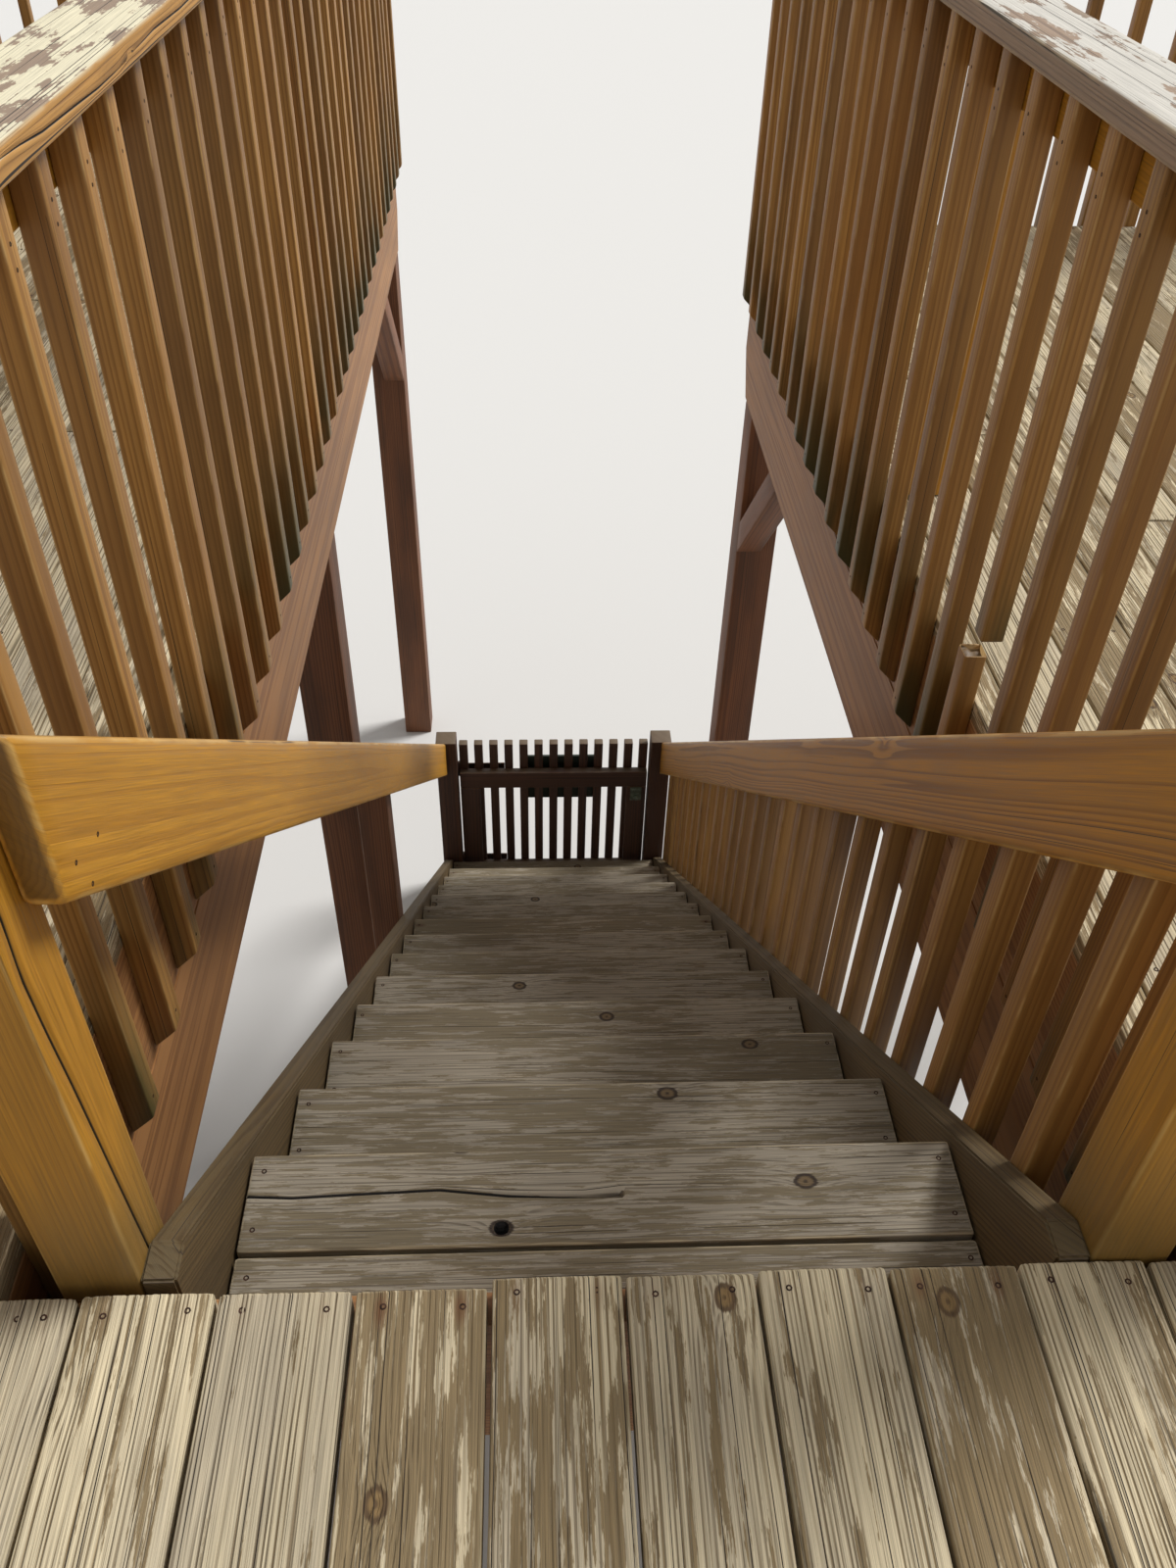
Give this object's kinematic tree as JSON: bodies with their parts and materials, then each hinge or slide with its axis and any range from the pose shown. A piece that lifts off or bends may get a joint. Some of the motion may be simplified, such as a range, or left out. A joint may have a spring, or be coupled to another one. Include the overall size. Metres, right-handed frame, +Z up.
{
  "type": "wooden deck stairs",
  "caption": "Straight timber stair between two raised deck wings, with handrails, baluster guards, posts and beams under the deck, and a hinged picket gate at its foot.",
  "frame": {"origin": "on the ground, under the middle of the whole part's plan", "axes": "+X to the right seen from the head of the flight, +Y from the head of the flight towards its foot, +Z up"},
  "size_m": [5.784, 6.702, 4.045],
  "materials": {
    "deck_boards": "weathered grey-tan boards with worn stain",
    "tread_boards": "weathered grey-brown boards",
    "cap_boards": "bleached boards with peeling stain",
    "framing": "stained sawn timber",
    "support_timber": "red-brown stained timber",
    "stained_timber": "golden-brown stain, satin",
    "gate_timber": "dark brown stain",
    "painted_board": "dark painted board",
    "hardware": "dull galvanised steel"
  },
  "bodies": {
    "deck": {"balusters_end_left": "stained_timber", "balusters_end_right": "stained_timber", "balusters_outer_left": "stained_timber", "balusters_outer_right": "stained_timber", "balusters_well_left": "stained_timber", "balusters_well_right": "stained_timber", "beams_left": "framing", "beams_right": "framing", "caps_ends": "cap_boards", "caps_sides": "cap_boards", "deck_floor_head": "deck_boards", "deck_floor_left": "deck_boards", "deck_floor_right": "deck_boards", "foot_posts": "gate_timber", "guard_posts_left": "stained_timber", "guard_posts_right": "stained_timber", "handrail_left": "stained_timber", "handrail_right": "stained_timber", "header_stairwell": "framing", "hinge_brackets": "hardware", "joists_head": "framing", "joists_left": "framing", "joists_right": "framing", "knee_braces": "support_timber", "rims_outer": "framing", "rims_stairwell": "framing", "rims_wing_ends": "framing", "stair_balusters": "stained_timber", "stair_post_right": "stained_timber", "stair_posts_left": "stained_timber", "stringer_left": "stained_timber", "stringer_right": "stained_timber", "sub_rails": "stained_timber", "sub_rails_ends": "stained_timber", "support_posts_left": "support_timber", "support_posts_right": "support_timber", "tread_back_boards": "tread_boards", "tread_cleats": "framing", "tread_front_boards": "tread_boards"},
    "gate": {"gate_latch": "hardware", "gate_pickets": "gate_timber", "gate_rails": "gate_timber", "gate_sign_board": "painted_board", "gate_stiles": "gate_timber", "hinge_straps": "hardware"}
  },
  "joints": [
    {"name": "gate_hinge", "type": "hinge", "parent": "deck", "child": "gate", "pos_m": [-0.836, 1.923, 0], "axis": [0, 0, 1], "range_deg": [0, 95]}
  ]
}
